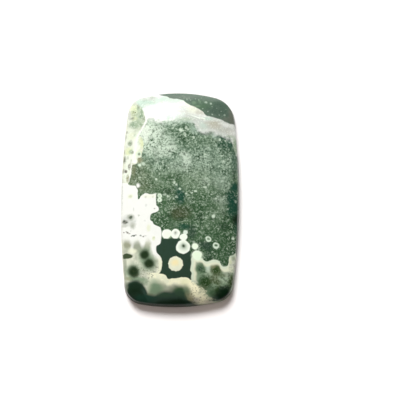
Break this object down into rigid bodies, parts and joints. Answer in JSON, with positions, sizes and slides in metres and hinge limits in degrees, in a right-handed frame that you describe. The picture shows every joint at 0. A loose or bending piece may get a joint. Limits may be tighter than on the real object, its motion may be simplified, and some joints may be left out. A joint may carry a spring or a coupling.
{
  "type": "ocean jasper cabochon",
  "caption": "Polished ocean jasper cabochon, cushion-shaped, with a flat back, a leaning girdle wall and a low domed front.",
  "frame": {"origin": "middle of the flat back, at the middle of the stone's width and length", "axes": "+Y along the stone towards its darker head, +X across it to the right seen from the front, +Z out of the dome"},
  "size_m": [0.024, 0.044, 0.0055],
  "materials": {
    "stone": "polished"
  },
  "bodies": {
    "root": {"cabochon": "stone"}
  },
  "joints": []
}
